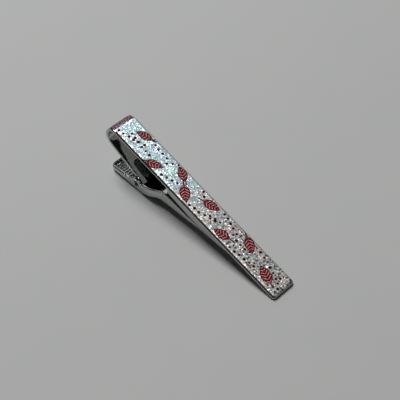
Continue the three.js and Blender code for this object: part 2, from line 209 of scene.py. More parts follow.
def arc(radius, start, end, steps, centre=(0, 0)):
    """Points on an arc in a plane, with angles in degrees."""
    turns = [math.radians(start + (end - start) * step / steps) for step in range(steps + 1)]
    return [(centre[0] + radius * math.cos(turn), centre[1] + radius * math.sin(turn)) for turn in turns]


print("shaping helpers ready; a face counts as facing a way from a cosine of", FACING)

# %% Helpers to finish a piece
EDGE_STEPS = 2
FLAT_FACE_WEIGHT = 60


def select_only(piece):
    """Leaves edit mode and makes one object the only selected one."""
    if bpy.context.object and bpy.context.object.mode == "EDIT":
        bpy.ops.object.mode_set(mode="OBJECT")
    bpy.ops.object.select_all(action="DESELECT")
    bpy.context.view_layer.objects.active = piece
    piece.select_set(True)


def use_modifier(piece, kind, **settings):
    """Adds a modifier with its settings and applies it at once."""
    select_only(piece)
    modifier = piece.modifiers.new(kind.lower(), kind)
    for setting, value in settings.items():
        setattr(modifier, setting, value)
    bpy.ops.object.modifier_apply(modifier=modifier.name)


def combine(piece, tool, operation):
    """Joins two bodies or cuts one with the other, and removes the second."""
    use_modifier(piece, "BOOLEAN", operation=operation, object=tool, solver="EXACT")
    bpy.data.objects.remove(tool)


def round_edges(piece, width, angle=50):
    """Rounds every edge sharper than an angle, so that the metal catches light along it."""
    use_modifier(piece, "BEVEL", width=width * MM, segments=EDGE_STEPS, limit_method="ANGLE",
                 angle_limit=math.radians(angle), use_clamp_overlap=True)


def smooth(piece, angle=40):
    """Shades smoothly, with large flat faces keeping their own normals."""
    select_only(piece)
    bpy.ops.object.shade_smooth_by_angle(angle=math.radians(angle))
    use_modifier(piece, "WEIGHTED_NORMAL", keep_sharp=True, weight=FLAT_FACE_WEIGHT)


def put(piece, matrix):
    """Moves a piece drawn in a working frame to its place, and keeps that place in its mesh."""
    select_only(piece)
    piece.data.transform(matrix)
    piece.data.update()


print("finishing helpers ready; rounded edges have", EDGE_STEPS, "steps")

# %% [markdown]
# ## The folded bar
# The real bar is one strip 0.8 mm thick. By hand it would be a box for the straight bar, whose end face
# is spun round the fold and then pulled out along the leg, and that is how it is made here: spin keeps
# the strip's thickness exact all the way round. The corners at the tip and the long edges are rounded,
# because polished metal always shows a bright line there. Round the fold that rounding tapers off to the
# crisper edges of the leg, whose inner face is left slightly hollow by the bending: both decide what the
# leg mirrors, so its points are moved by that much.

# %% Sizes of the strip
BAR_LENGTH = 55
BAR_HALF = 3.25
STRIP = 0.8
FOLD_RADIUS = 3
LEG_SLOPE = math.radians(13)
LEG_LENGTH = 12

fold_angle = math.pi - LEG_SLOPE
flat_length = BAR_LENGTH - FOLD_RADIUS + (FOLD_RADIUS - STRIP / 2) * fold_angle + LEG_LENGTH
print("strip before folding:", round(flat_length, 1), "mm long and", 2 * BAR_HALF, "mm wide")

# %% Helpers for the strip and its film
TIP_CORNER, TIP_STEPS = 0.7, 10


def round_tip(length, half):
    """Rounds the two upright corners at the tip of the bar or of its film."""
    pick("edges", lambda edge: middle(edge).x > length - CLOSE and abs(middle(edge).y) > half - CLOSE)
    bevel(TIP_CORNER, TIP_STEPS)


def round_rim(height, radius, steps):
    """Rounds the edges round the strip's or the film's face, all but where the fold starts."""
    pick("edges", lambda edge: (
        abs(middle(edge).z - height) < CLOSE and middle(edge).x > FOLD_RADIUS + CLOSE))
    bevel(radius, steps)


def fold_back(angle, steps):
    """Spins the end face at the start of the fold backwards and down round it."""
    pick("faces", lambda face: face.normal.x < -FACING)
    centre = Vector((FOLD_RADIUS, 0, -FOLD_RADIUS)) * MM
    bpy.ops.mesh.spin(steps=steps, angle=angle, center=centre, axis=(0, 1, 0))


print("corners at the tip are rounded by", TIP_CORNER, "mm")

# %% Helper for the edges of the leg
FRONT_ROUNDING, FRONT_STEPS = 0.42, 8
BACK_ROUNDING, BACK_STEPS = 0.36, 6
ROUNDING_LEFT_ON_LEG = 0.3
TAPER_RATE = 1.6
LEG_HOLLOW = 0.085
ON_EDGE = 0.001


def sharpen_leg(strip, end_angle):
    """Draws the rounded edges in towards the corners round the fold, and hollows the leg's inner face."""
    pivot = Vector((FOLD_RADIUS, 0, -FOLD_RADIUS))
    for vertex in strip.data.vertices:
        arm = vertex.co / MM - pivot
        angle = end_angle if arm.z < 0 < arm.x else math.atan2(max(0, -arm.x), arm.z)
        taper = min(1, TAPER_RATE * angle / end_angle)
        drawn = (1 - ROUNDING_LEFT_ON_LEG) * taper
        outward = Vector((-math.sin(angle), 0, math.cos(angle)))
        depth = FOLD_RADIUS - arm.dot(outward)
        inset = BAR_HALF - abs(arm.y)
        on_front = depth < FRONT_ROUNDING + ON_EDGE and inset < FRONT_ROUNDING + ON_EDGE
        on_back = depth > STRIP - BACK_ROUNDING - ON_EDGE and inset < BACK_ROUNDING + ON_EDGE
        if on_front or on_back:
            arm += outward * (depth if on_front else depth - STRIP) * drawn
            arm.y += math.copysign(inset * drawn, arm.y)
            vertex.co = (pivot + arm) * MM
        elif depth > STRIP - ON_EDGE:
            hollow = 1 - (arm.y / (BAR_HALF - BACK_ROUNDING)) ** 2
            vertex.co += outward * LEG_HOLLOW * hollow * taper * MM


print("edges on the leg keep a rounding of", round(BACK_ROUNDING * ROUNDING_LEFT_ON_LEG, 2), "mm")

# %% Folded strip
FOLD_STEPS = 56
HOLLOW_CUTS = 15
LEG_END_CHAMFER = 0.1

folded_bar = start_box("folded_bar", (FOLD_RADIUS, -BAR_HALF, -STRIP), (BAR_LENGTH, BAR_HALF, 0))
round_tip(BAR_LENGTH, BAR_HALF)
round_rim(0, FRONT_ROUNDING, FRONT_STEPS)
round_rim(-STRIP, BACK_ROUNDING, BACK_STEPS)
pick("edges", lambda edge: (middle(edge) - Vector((FOLD_RADIUS, 0, -STRIP))).length < CLOSE)
bpy.ops.mesh.subdivide(number_cuts=HOLLOW_CUTS)
fold_back(fold_angle, FOLD_STEPS)
straight = LEG_LENGTH - LEG_END_CHAMFER
extrude(straight * math.cos(LEG_SLOPE), 0, -straight * math.sin(LEG_SLOPE))
bpy.ops.mesh.inset(thickness=LEG_END_CHAMFER * MM, depth=LEG_END_CHAMFER * MM)
select_only(folded_bar)
sharpen_leg(folded_bar, fold_angle)
low = min(vertex.co.z for vertex in folded_bar.data.vertices) / MM
print("folded strip:", len(folded_bar.data.vertices), "points, leg reaches down to", round(low, 2), "mm")

# %% [markdown]
# ## The lugs that hold the pin
# Two lugs hang from the sides of the leg and carry the pin. Each is a plate with a round lower end and a
# slanted front, joined to the strip with a boolean. A slot with rounded corners is then cut into the end of
# the leg, which leaves a rail on each side of it, and both lugs are bored in one go, so that the two holes
# are in line.

# %% Lugs, slot and bore
LUG_RADIUS = 1.47
LUG_TOP = 1.53
LUG_FRONT = 0.6
LUG_THICKNESS = 0.8
LUG_SET_BACK = 0.02
LUG_ROUNDING = 0.08
LUG_STEPS = 24
BORE_RADIUS = 0.67
SLOT_ROOT = -4.5
SLOT_FRONT = 4
SLOT_HALF = 2.1
SLOT_CORNER, SLOT_STEPS = 1.2, 8
ROUND_SIDES = 48

hang_from_leg = Matrix.Translation(pin_in_bar * MM) @ Matrix.Rotation(LEG_SLOPE, 4, "Y")
lug_outline = [(LUG_FRONT, LUG_TOP), (-LUG_RADIUS, LUG_TOP)] + arc(LUG_RADIUS, 180, 360, LUG_STEPS)
for side in (-1, 1):
    outer = side * (BAR_HALF - LUG_SET_BACK)
    lug = start_plate("lug", lug_outline, outer, outer - side * LUG_THICKNESS)
    round_edges(lug, LUG_ROUNDING)
    put(lug, hang_from_leg)
    combine(folded_bar, lug, "UNION")
slot_block = start_box("slot_block", (SLOT_ROOT, -SLOT_HALF, 0), (SLOT_FRONT, SLOT_HALF, 2 * LUG_TOP))
pick("edges", lambda edge: middle(edge).x < SLOT_ROOT + CLOSE and abs(middle(edge).y) > SLOT_HALF - CLOSE)
bevel(SLOT_CORNER, SLOT_STEPS)
put(slot_block, hang_from_leg)
combine(folded_bar, slot_block, "DIFFERENCE")
bore = start_rod("bore", BORE_RADIUS, 3 * BAR_HALF, ROUND_SIDES)
put(bore, hang_from_leg)
combine(folded_bar, bore, "DIFFERENCE")
put(folded_bar, bar_to_row)
smooth(folded_bar)
print("folded bar with lugs:", len(folded_bar.data.polygons), "faces")

# %% [markdown]
# ## The printed film
# The decoration is a thin film on the face of the bar. It stops a third of a millimetre short of the
# edges, runs a little way round the fold, and its edges are drawn down to the metal in a soft round. A
# bevel is as high as it is wide, so the film is first made four times too tall, bevelled, and then
# squashed to its thickness. Every point keeps how far along and across the strip it lies in an attribute
# called print_place, so the print can follow the film round the fold.

# %% Printed film
FILM_HALF = 2.92
FILM_END = 54.75
FILM_UNDERSIDE = 0.02
FILM_EDGE = 0.45
FILM_EDGE_STEPS = 6
FILM_STRETCH = 4
FILM_WRAP = math.radians(42)
FILM_WRAP_STEPS = 18
FILM_SMOOTHING = 60

tall_top = FILM_UNDERSIDE + (FILM_TOP - FILM_UNDERSIDE) * FILM_STRETCH
film = start_box("printed_film", (FOLD_RADIUS, -FILM_HALF, FILM_UNDERSIDE), (FILM_END, FILM_HALF, tall_top))
round_tip(FILM_END, FILM_HALF)
round_rim(tall_top, FILM_EDGE, FILM_EDGE_STEPS)
bpy.ops.mesh.select_all(action="SELECT")
bpy.ops.transform.resize(value=(1, 1, 1 / FILM_STRETCH), center_override=(0, 0, FILM_UNDERSIDE * MM))
fold_back(FILM_WRAP, FILM_WRAP_STEPS)
select_only(film)

print_place = film.data.attributes.new("print_place", "FLOAT_VECTOR", "POINT")
for vertex, entry in zip(film.data.vertices, print_place.data):
    x, y, z = vertex.co / MM
    turned = math.atan2(max(0, FOLD_RADIUS - x), z + FOLD_RADIUS)
    entry.vector = (max(x, FOLD_RADIUS) - turned * (FOLD_RADIUS + FILM_TOP), y, 0)
put(film, bar_to_row)
smooth(film, FILM_SMOOTHING)
along = [entry.vector[0] for entry in film.data.attributes["print_place"].data]
print("film lies from", round(min(along), 2), "to", round(max(along), 2), "mm along the strip")

# %% [markdown]
# ## The hinge pin
# The pin is turned from wire, with a rounded rim and a dimple in each end where it was riveted. Its rim
# edges are bevelled, and each end face is inset three times, a little deeper each time, which makes a
# bowl.

# %% Hinge pin
PIN_RADIUS = 0.65
PIN_LENGTH = 7.46
PIN_RIM, PIN_RIM_STEPS = 0.12, 4
DIMPLE_RINGS = ((0.1, 0.11), (0.13, 0.09), (0.14, 0.04))

pin = start_rod("turned_pin", PIN_RADIUS, PIN_LENGTH, ROUND_SIDES)
pick("edges", lambda edge: abs(abs(middle(edge).y) - PIN_LENGTH / 2) < CLOSE)
bevel(PIN_RIM, PIN_RIM_STEPS)
pick("faces", lambda face: abs(face.normal.y) > FACING)
for width, depth in DIMPLE_RINGS:
    bpy.ops.mesh.inset(thickness=width * MM, depth=-depth * MM)
put(pin, pin_to_row)
smooth(pin)
print("pin:", len(pin.data.polygons), "faces")

# %% [markdown]
# ## The leaf spring
# A flat strip of spring steel lies under the leg, turns round the front of the pin and presses back on
# the thumb pad. It is drawn with its upper arm level, spun round the pin, pulled out into the lower arm,
# and then turned to lie under the sloping leg. The corners of its upper end are rounded, as a blanked
# strip's are.

# %% Leaf spring
SPRING_HALF = 2.15
SPRING_INNER = 0.73
SPRING_OUTER = 1.03
SPRING_UPPER_ARM = 6.5
SPRING_LOWER_ARM = 3.6
PAD_BELOW_PIN = 1.52
SPRING_LOWER_SLOPE = math.asin((PAD_BELOW_PIN - SPRING_OUTER) / SPRING_LOWER_ARM)
SPRING_STEPS = 48
SPRING_CORNER, SPRING_CORNER_STEPS = 0.5, 6
SPRING_ROUNDING = 0.05

spring_turn = math.pi - LEG_SLOPE - tilt - SPRING_LOWER_SLOPE
lower_arm = Vector((math.cos(spring_turn), 0, -math.sin(spring_turn))) * SPRING_LOWER_ARM
spring = start_box(
    "bent_spring", (-SPRING_UPPER_ARM, -SPRING_HALF, SPRING_INNER), (0, SPRING_HALF, SPRING_OUTER))
pick("faces", lambda face: face.normal.x > FACING)
bpy.ops.mesh.spin(steps=SPRING_STEPS, angle=spring_turn, center=(0, 0, 0), axis=(0, -1, 0))
extrude(*lower_arm)
pick("edges", lambda edge: (
    middle(edge).x < CLOSE - SPRING_UPPER_ARM and abs(middle(edge).y) > SPRING_HALF - CLOSE))
bevel(SPRING_CORNER, SPRING_CORNER_STEPS)
round_edges(spring, SPRING_ROUNDING)
put(spring, pin_to_row @ Matrix.Rotation(LEG_SLOPE + tilt, 4, "Y"))
smooth(spring)
print("spring turns", round(math.degrees(spring_turn), 1), "degrees round the pin")

# %% [markdown]
# ## The stamped lever: sheet
# The lever is the clip's most worked piece: one stamping with a ribbed tray for the thumb, two ears on
# the pin, a neck that rises and narrows, and a low channel out to the jaw. It is sheet metal, so it is
# drawn as a sheet: a grid laid out on the floor of the stamping, whose border is then extruded round the
# bend and up into the walls. Solidify gives it its half millimetre at the end, inside and outside alike.

# %% Width and height of the lever
EAR_HALF = 3.85
NECK_HALF = 3.1
JAW_HALF = 2.65
NECK_START, NECK_END = 1.2, 8.2
NARROWING_START, JAW_MERGE = 3.4, 19.899
NECK_RISE = 2.05
ARM_SLOPE = math.tan(math.radians(-1))
WEB_BOTTOM = -2.12
PAD_END, LEVER_END = -9.3, 29.399


def ease(x, start, end):
    """Rises smoothly from 0 to 1 between two places."""
    t = min(1, max(0, (x - start) / (end - start)))
    return t * t * (3 - 2 * t)


def half_width(x):
    """Half the lever's outer width: ears, neck, then a taper into the jaw."""
    if x <= NECK_END:
        return EAR_HALF + (NECK_HALF - EAR_HALF) * ease(x, NARROWING_START, NECK_END)
    along = min(1, (x - NECK_END) / (JAW_MERGE - NECK_END))
    return NECK_HALF + (JAW_HALF - NECK_HALF) * along


def underside(x):
    """Height of the lever's underside: flat pad, rising neck, then a nearly level arm."""
    return WEB_BOTTOM + NECK_RISE * ease(x, NECK_START, NECK_END) + max(0, x - NECK_END) * ARM_SLOPE


ends = (round(half_width(PAD_END), 2), round(half_width(LEVER_END), 2))
print("half of the lever's width in mm, at the pad and at the jaw:", ends)

# %% [markdown]
# ## The stamped lever: top edge of the walls
# Seen from the side, the walls start low along the thumb pad, rise round the pin into the ears, dip in
# the throat, climb to a ledge under the jaw's rims and run out as a low lip. The whole edge is one line
# of points, and the height of the wall at any place is read off it.

# %% Helpers for the wall line
BACK_OF_BAR = 8.6086
JAW_START = 8
EAR_RADIUS = 1.55


def jaw_point(along, below):
    """A point given along the back of the bar from the jaw's rear end, and below the bar."""
    x, z = JAW_START + along, BACK_OF_BAR - below
    return (x * math.cos(tilt) + z * math.sin(tilt), z * math.cos(tilt) - x * math.sin(tilt))


def bezier(a, b, c, d, steps=40):
    """Points on a cubic curve in a plane."""
    points = []
    for step in range(steps + 1):
        t = step / steps
        s = 1 - t
        weights = (s ** 3, 3 * s * s * t, 3 * s * t * t, t ** 3)
        points.append(tuple(sum(w * p[axis] for w, p in zip(weights, (a, b, c, d))) for axis in (0, 1)))
    return points


def on_ear(angle, pull):
    """A point on the ear's round, and one pulled forwards from it along the round's tangent."""
    turn = math.radians(angle)
    x, z = EAR_RADIUS * math.cos(turn), EAR_RADIUS * math.sin(turn)
    return (x, z), (x + pull * math.sin(turn), z - pull * math.cos(turn))


print("the jaw starts", JAW_START, "mm in front of the pin, along the bar")

# %% Wall line
PAD_RIM = (-11.3, -0.92)
HEEL = (-4.3, -0.32)
FLANK, THROAT = 140, 50
EAR_STEPS = 60
HEEL_PULL, FLANK_PULL, THROAT_PULL, JAW_PULL = 1.3, 0.9, 1.1, 3.3
JAW_CLIMB = math.radians(24)
PAST_JAW = 30
LEDGE = 3.1
LIP = 0.7

ear_rear, flank_ease = on_ear(FLANK, -FLANK_PULL)
ear_front, throat_ease = on_ear(THROAT, THROAT_PULL)
jaw_base = jaw_point(0, LEDGE)
jaw_ease = (jaw_base[0] - JAW_PULL * math.cos(JAW_CLIMB), jaw_base[1] - JAW_PULL * math.sin(JAW_CLIMB))
wall_line = (
    [PAD_RIM]
    + bezier(HEEL, (HEEL[0] + HEEL_PULL, HEEL[1]), flank_ease, ear_rear)
    + arc(EAR_RADIUS, FLANK, THROAT, EAR_STEPS)[1:]
    + bezier(ear_front, throat_ease, jaw_ease, jaw_base)[1:]
    + [jaw_point(PAST_JAW, LEDGE)]
)


def wall_top(x):
    """Height of the wall's top edge, never lower than the lip."""
    for (x0, z0), (x1, z1) in zip(wall_line, wall_line[1:]):
        if x0 <= x <= x1:
            return max(z0 + (z1 - z0) * (x - x0) / (x1 - x0), underside(x) + LIP)
    return underside(x) + LIP


print("ears rise to", round(wall_top(0), 2), "mm over the pin; ledge at", [round(c, 2) for c in jaw_base])

# %% [markdown]
# ## The stamped lever: floor with beads
# The floor is a grid. Its lines lie close together where the thumb pad's beads are and round the ears,
# and further apart along the arm. Seven beads are pressed down out of the pad so that the thumb
# doesn't slip: each is a soft wave with round ends, so the grid's points are moved down by that much.

# %% Floor of the lever
BEAD_COUNT = 7
BEAD_PITCH = 0.8
BEAD_INSET = 1.65
BEAD_FIRST = PAD_END + BEAD_INSET
BEAD_HALF_WIDTH = 0.4
BEAD_HEIGHT = 0.25
BEAD_HALF_LENGTH = 2.3
BEND = 0.6
PAD_CORNER, PAD_CORNER_STEPS = 1.3, 9
# The grid's lines along the lever, as shares of half its width, are closest at the ends of the beads.
CROSS_LINES = (-1, -0.87, -0.81, -0.785, -0.76, -0.735, -0.7, -0.4, 0,
               0.4, 0.7, 0.735, 0.76, 0.785, 0.81, 0.87, 1)


def spread(start, end, step):
    """Even places from a start towards an end."""
    count = round((end - start) / step)
    return [start + (end - start) * number / count for number in range(count)]


def bead_drop(x, y):
    """How far the floor is pressed down at a place on the pad."""
    number = min(BEAD_COUNT - 1, max(0, round((x - BEAD_FIRST) / BEAD_PITCH)))
    away = math.hypot(x - BEAD_FIRST - number * BEAD_PITCH, max(0, abs(y) - BEAD_HALF_LENGTH))
    return BEAD_HEIGHT * (1 - ease(away, 0, BEAD_HALF_WIDTH))


corner_x, corner_y = PAD_END + PAD_CORNER, EAR_HALF - PAD_CORNER
# Each line across the grid: where it lies along the lever, and half its length.
stations = arc(PAD_CORNER - BEND, 180, 90, PAD_CORNER_STEPS, (corner_x, corner_y))
lip_start = next(x for x in spread(jaw_base[0], LEVER_END, CLOSE) if wall_top(x) <= underside(x) + LIP)
# Each stretch of the lever: where it ends, and how far apart the grid's lines across it lie.
stretches = ((-2.5, 0.05), (3, 0.12), (jaw_base[0], 0.2), (lip_start, 0.5), (LEVER_END, 0.8))
places = []
stretch_start = corner_x
for stretch_end, step in stretches:
    places += spread(stretch_start, stretch_end, step)
    stretch_start = stretch_end
stations += [(x, half_width(x) - BEND) for x in places[1:] + [LEVER_END]]
print("lever floor:", len(stations), "lines across it; the lip starts at", round(lip_start, 2), "mm")

# %% Grid laid on the floor
bpy.ops.object.select_all(action="DESELECT")
columns, rows = len(stations) - 1, len(CROSS_LINES) - 1
bpy.ops.mesh.primitive_grid_add(x_subdivisions=columns, y_subdivisions=rows, size=2)
lever = begin("stamped_lever")
sheet = bmesh.from_edit_mesh(lever.data)
for vertex in sheet.verts:
    x, half = stations[round((vertex.co.x + 1) / 2 * columns)]
    y = half * CROSS_LINES[round((vertex.co.y + 1) / 2 * rows)]
    vertex.co = Vector((x, y, underside(x) - bead_drop(x, y))) * MM
bmesh.update_edit_mesh(lever.data)
print("lever floor:", len(sheet.verts), "points")

# %% [markdown]
# ## The stamped lever: bend and walls
# The border of the floor, all but its front end, is extruded step by step through a quarter turn and then
# up to the wall line. Which way is outward differs along the border: straight back at the pad's end, all
# ways round its corners, and sideways along the arm. Each border point keeps its own direction in a layer,
# which extruding copies.

# %% Outward directions
SLOPE_STEP = 0.01

outward = sheet.verts.layers.float_vector.new("outward")
for vertex in sheet.verts:
    x, y, z = vertex.co / MM
    side = 1 if y > 0 else -1
    if x > corner_x - ON_EDGE:
        slope = (half_width(x + SLOPE_STEP) - half_width(x - SLOPE_STEP)) / (2 * SLOPE_STEP)
        vertex[outward] = Vector((-slope, side, 0)).normalized()
    elif abs(y) > corner_y:
        vertex[outward] = Vector((x - corner_x, y - side * corner_y, 0)).normalized()
    else:
        vertex[outward] = Vector((-1, 0, 0))
print("outward directions kept for", len(sheet.verts), "points")

# %% Bend and walls
BEND_STEPS = 6

pick("edges", lambda edge: edge.is_boundary and middle(edge).x < LEVER_END - CLOSE)
for step in range(BEND_STEPS):
    turn, next_turn = (math.pi / 2 * number / BEND_STEPS for number in (step, step + 1))
    extrude(0, 0, 0)
    sheet = bmesh.from_edit_mesh(lever.data)
    outward = sheet.verts.layers.float_vector["outward"]
    for vertex in sheet.verts:
        if vertex.select:
            vertex.co += vertex[outward] * BEND * (math.sin(next_turn) - math.sin(turn)) * MM
            vertex.co.z += BEND * (math.cos(turn) - math.cos(next_turn)) * MM
    bmesh.update_edit_mesh(lever.data)
extrude(0, 0, 0)
sheet = bmesh.from_edit_mesh(lever.data)
for vertex in sheet.verts:
    if vertex.select:
        vertex.co.z = wall_top(vertex.co.x / MM) * MM
bmesh.update_edit_mesh(lever.data)
print("lever sheet with walls:", len(sheet.faces), "faces")

# %% Thickness of the sheet
SHEET = 0.5
SHEET_ROUNDING = 0.07

bpy.ops.mesh.select_all(action="SELECT")
bpy.ops.mesh.normals_make_consistent(inside=False)
sheet = bmesh.from_edit_mesh(lever.data)
below_pin = Vector((0, 0, WEB_BOTTOM)) * MM
floor_face = min(sheet.faces, key=lambda face: (face.calc_center_median() - below_pin).length)
if floor_face.normal.z > 0:
    bpy.ops.mesh.flip_normals()
use_modifier(lever, "SOLIDIFY", thickness=SHEET * MM, offset=-1, use_even_offset=True,
             use_quality_normals=True)
round_edges(lever, SHEET_ROUNDING)
print("lever sheet with its thickness:", len(lever.data.polygons), "faces")

# %% [markdown]
# ## The stamped lever: holes and jaw
# The ears are drilled for the pin and their holes countersunk. The jaw is two toothed rims standing on the
# channel, which close on the back of the bar: a long relief and three notches leave the teeth. Each rim is
# a plate with that outline, joined to the sheet.

# %% Holes
HOLE_RADIUS = 0.7
COUNTERSINK = 0.14
CONE_PROUD = 0.001

hole = start_rod("hole", HOLE_RADIUS, 3 * EAR_HALF, ROUND_SIDES)
combine(lever, hole, "DIFFERENCE")
for side in (-1, 1):
    cone = start_rod("cone", HOLE_RADIUS, 2 * COUNTERSINK, ROUND_SIDES)
    pick("faces", lambda face: face.normal.y * side > FACING)
    wide = (HOLE_RADIUS + COUNTERSINK) / HOLE_RADIUS
    narrow = (HOLE_RADIUS - COUNTERSINK) / HOLE_RADIUS
    bpy.ops.transform.resize(value=(wide, 1, wide))
    pick("faces", lambda face: face.normal.y * side < -FACING)
    bpy.ops.transform.resize(value=(narrow, 1, narrow))
    put(cone, Matrix.Translation((0, side * (EAR_HALF - COUNTERSINK + CONE_PROUD) * MM, 0)))
    combine(lever, cone, "DIFFERENCE")
print("lever with holes:", len(lever.data.polygons), "faces")

# %% Jaw rims
JAW_GAP = 0.1
RIM_INSET = 0.02
RIM_ROOT = 0.1
TIP_HEIGHT = 1.1
JAW_LENGTH = 20.165
NOTCH_HALF = 0.5
NOTCH_DEPTH = 0.6
FRONT_NOTCH, MIDDLE_NOTCH, REAR_NOTCH = JAW_LENGTH - 3.9, JAW_LENGTH - 6.2, 3
RELIEF_START, RELIEF_END, RELIEF_DEPTH = 5.1, 11.9, 0.35
REAR_CORNER, REAR_STEPS = 0.5, 6
RIM_ROUNDING, RIM_EDGE_ANGLE = 0.05, 30


def notch(place):
    """The three points of a notch, from its front edge to its rear edge."""
    return [(place + NOTCH_HALF, 0), (place, NOTCH_DEPTH), (place - NOTCH_HALF, 0)]


relief = [(RELIEF_END, 0), (RELIEF_END - RELIEF_DEPTH, RELIEF_DEPTH),
          (RELIEF_START + RELIEF_DEPTH, RELIEF_DEPTH), (RELIEF_START, 0)]
teeth = notch(FRONT_NOTCH) + notch(MIDDLE_NOTCH) + relief + notch(REAR_NOTCH)
corner = arc(REAR_CORNER, 270, 180, REAR_STEPS, (REAR_CORNER, REAR_CORNER))
rim_top = [jaw_point(along, JAW_GAP + below) for along, below in teeth + corner]
seat = SHEET - RIM_ROOT
rim_outline = [
    (jaw_base[0], underside(jaw_base[0]) + seat),
    (LEVER_END, underside(LEVER_END) + seat),
    (LEVER_END, underside(LEVER_END) + SHEET + TIP_HEIGHT),
] + rim_top
for side in (-1, 1):
    outer = side * (JAW_HALF - RIM_INSET)
    rim = start_plate("rim", rim_outline, outer, outer - side * SHEET)
    round_edges(rim, RIM_ROUNDING, RIM_EDGE_ANGLE)
    combine(lever, rim, "UNION")
put(lever, pin_to_row)
smooth(lever)
print("lever:", len(lever.data.polygons), "faces")

# %% [markdown]
# ## Building materials
# Materials are node trees. These helpers add a node and feed its inputs, where an input may be a number, a
# colour or another node's output, and make a node group with named sockets. A node goes into the tree of
# the outputs that feed it. Many values are masks: numbers from 0 to 1 that say where something is.

# %% Node helpers
def feed(node, inputs):
    """Feeds a node's inputs: links another node's output to each, or sets its own value."""
    for name, value in inputs.items():
        if isinstance(value, bpy.types.NodeSocket):
            node.id_data.links.new(value, node.inputs[name])
        else:
            node.inputs[name].default_value = value


def new_node(tree, kind, **options):
    """Adds a node to a tree and sets its options."""
    node = tree.nodes.new(kind)
    for option, value in options.items():
        setattr(node, option, value)
    return node


def add(kind, inputs, **options):
    """Adds a node to the tree of the outputs that feed it; returns its own outputs."""
    source = next(value for value in inputs.values() if isinstance(value, bpy.types.NodeSocket))
    node = new_node(source.id_data, kind, **options)
    feed(node, inputs)
    return node.outputs


print("node helpers ready")


# %% Helpers for groups and materials
def new_group(name, inputs, outputs):
    """Starts a node group; returns its tree, its input sockets and its output node."""
    tree = bpy.data.node_groups.new(name, "ShaderNodeTree")
    kinds = {"value": "NodeSocketFloat", "place": "NodeSocketVector", "colour": "NodeSocketColor"}
    for socket, (kind, default) in inputs.items():
        tree.interface.new_socket(socket, in_out="INPUT", socket_type=kinds[kind]).default_value = default
    for socket, kind in outputs.items():
        tree.interface.new_socket(socket, in_out="OUTPUT", socket_type=kinds[kind])
    return tree, tree.nodes.new("NodeGroupInput").outputs, tree.nodes.new("NodeGroupOutput")


def use_group(tree, group, inputs):
    """Places a node group in a tree and feeds it."""
    node = new_node(tree, "ShaderNodeGroup", node_tree=group)
    feed(node, inputs)
    return node.outputs


def new_material(name):
    """Starts a material; returns it, its tree and its shader."""
    material = bpy.data.materials.new(name)
    material.use_nodes = True
    return material, material.node_tree, material.node_tree.nodes["Principled BSDF"]


print("group and material helpers ready")


# %% Helpers for numbers and masks
def calc(operation, *values):
    """One arithmetic step."""
    return add("ShaderNodeMath", dict(enumerate(values)), operation=operation)[0]


def product(first, *others):
    """Several values multiplied."""
    for value in others:
        first = calc("MULTIPLY", first, value)
    return first


def strongest(first, *others):
    """The highest of several masks."""
    for value in others:
        first = calc("MAXIMUM", first, value)
    return first


def remap(value, low, high, to_low=0.0, to_high=1.0, kind="LINEAR"):
    """Maps one range of values onto another and stops at its ends."""
    inputs = {"Value": value, "From Min": low, "From Max": high, "To Min": to_low, "To Max": to_high}
    return add("ShaderNodeMapRange", inputs, interpolation_type=kind)["Result"]


def within(distance, solid, fade):
    """A mask that is full up to one distance and has faded out at another."""
    return calc("SUBTRACT", 1, remap(distance, solid, fade))


print("mask helpers ready")

# %% Helpers for places, noise and colours
MIX_FACTOR, MIX_FIRST, MIX_SECOND, MIX_RESULT = 0, 6, 7, 2


def vector(operation, *values):
    """One step of vector arithmetic."""
    return add("ShaderNodeVectorMath", dict(enumerate(values)), operation=operation)[0]


def parts(value):
    """The three numbers of a place or of a colour."""
    return add("ShaderNodeSeparateXYZ", {0: value})


def object_place(tree):
    """The place on the piece, in metres."""
    return new_node(tree, "ShaderNodeTexCoord").outputs["Object"]


def noise(place, scale, detail, dimensions="3D"):
    """Smooth noise, as one number (Fac) and as three (Color)."""
    inputs = {"Vector": place, "Scale": scale, "Detail": detail}
    return add("ShaderNodeTexNoise", inputs, noise_dimensions=dimensions)


def blend_colour(factor, first, second):
    """Mixes two colours."""
    inputs = {MIX_FACTOR: factor, MIX_FIRST: first, MIX_SECOND: second}
    return add("ShaderNodeMix", inputs, data_type="RGBA")[MIX_RESULT]


print("place, noise and colour helpers ready")

# %% [markdown]
# ## Polished metal
# Plated metal that has been handled is never one even mirror. It has a faint haze in patches, very fine
# wiping lines along its length, and it is a little wavy from the press. One node group gives the haze, the
# lines and the waves, and the bar, the lever, the pin and the spring use it with their own values.

# %% Wiped metal group
TO_MM = (1000, 1000, 1000)
LINE_STRETCH = (0.08, 1, 1)
WAVE_SCALE = 0.45
HAZE_RANGE, LINES_RANGE = (0.35, 0.7), (0.3, 0.7)

wiped, given, out = new_group(
    "wiped_metal",
    {"Patch Size": ("value", 4), "Line Pitch": ("value", 0.25)},
    {"Haze": "value", "Lines": "value", "Waves": "value"},
)
place_mm = vector("MULTIPLY", object_place(wiped), TO_MM)
haze = noise(place_mm, calc("DIVIDE", 1, given["Patch Size"]), detail=4)["Fac"]
stretched = vector("MULTIPLY", place_mm, LINE_STRETCH)
lines = noise(stretched, calc("DIVIDE", 1, given["Line Pitch"]), detail=3)["Fac"]
waves = noise(place_mm, WAVE_SCALE, detail=1)["Fac"]
feed(out, {"Haze": remap(haze, *HAZE_RANGE), "Lines": remap(lines, *LINES_RANGE), "Waves": waves})
print("group wiped_metal:", len(wiped.nodes), "nodes")

# %% [markdown]
# ## Chrome, pin steel and spring steel
# The bar and the lever are chrome plated: nearly a mirror, darker than silver. The pin and the spring are
# plain steel, nearly black. Each metal is the same small tree with its own two colours, its gloss
# and its marks, so one function makes them all.

# %% Three metals
LINES_SHARE, HAZE_SHARE = 0.4, 0.6


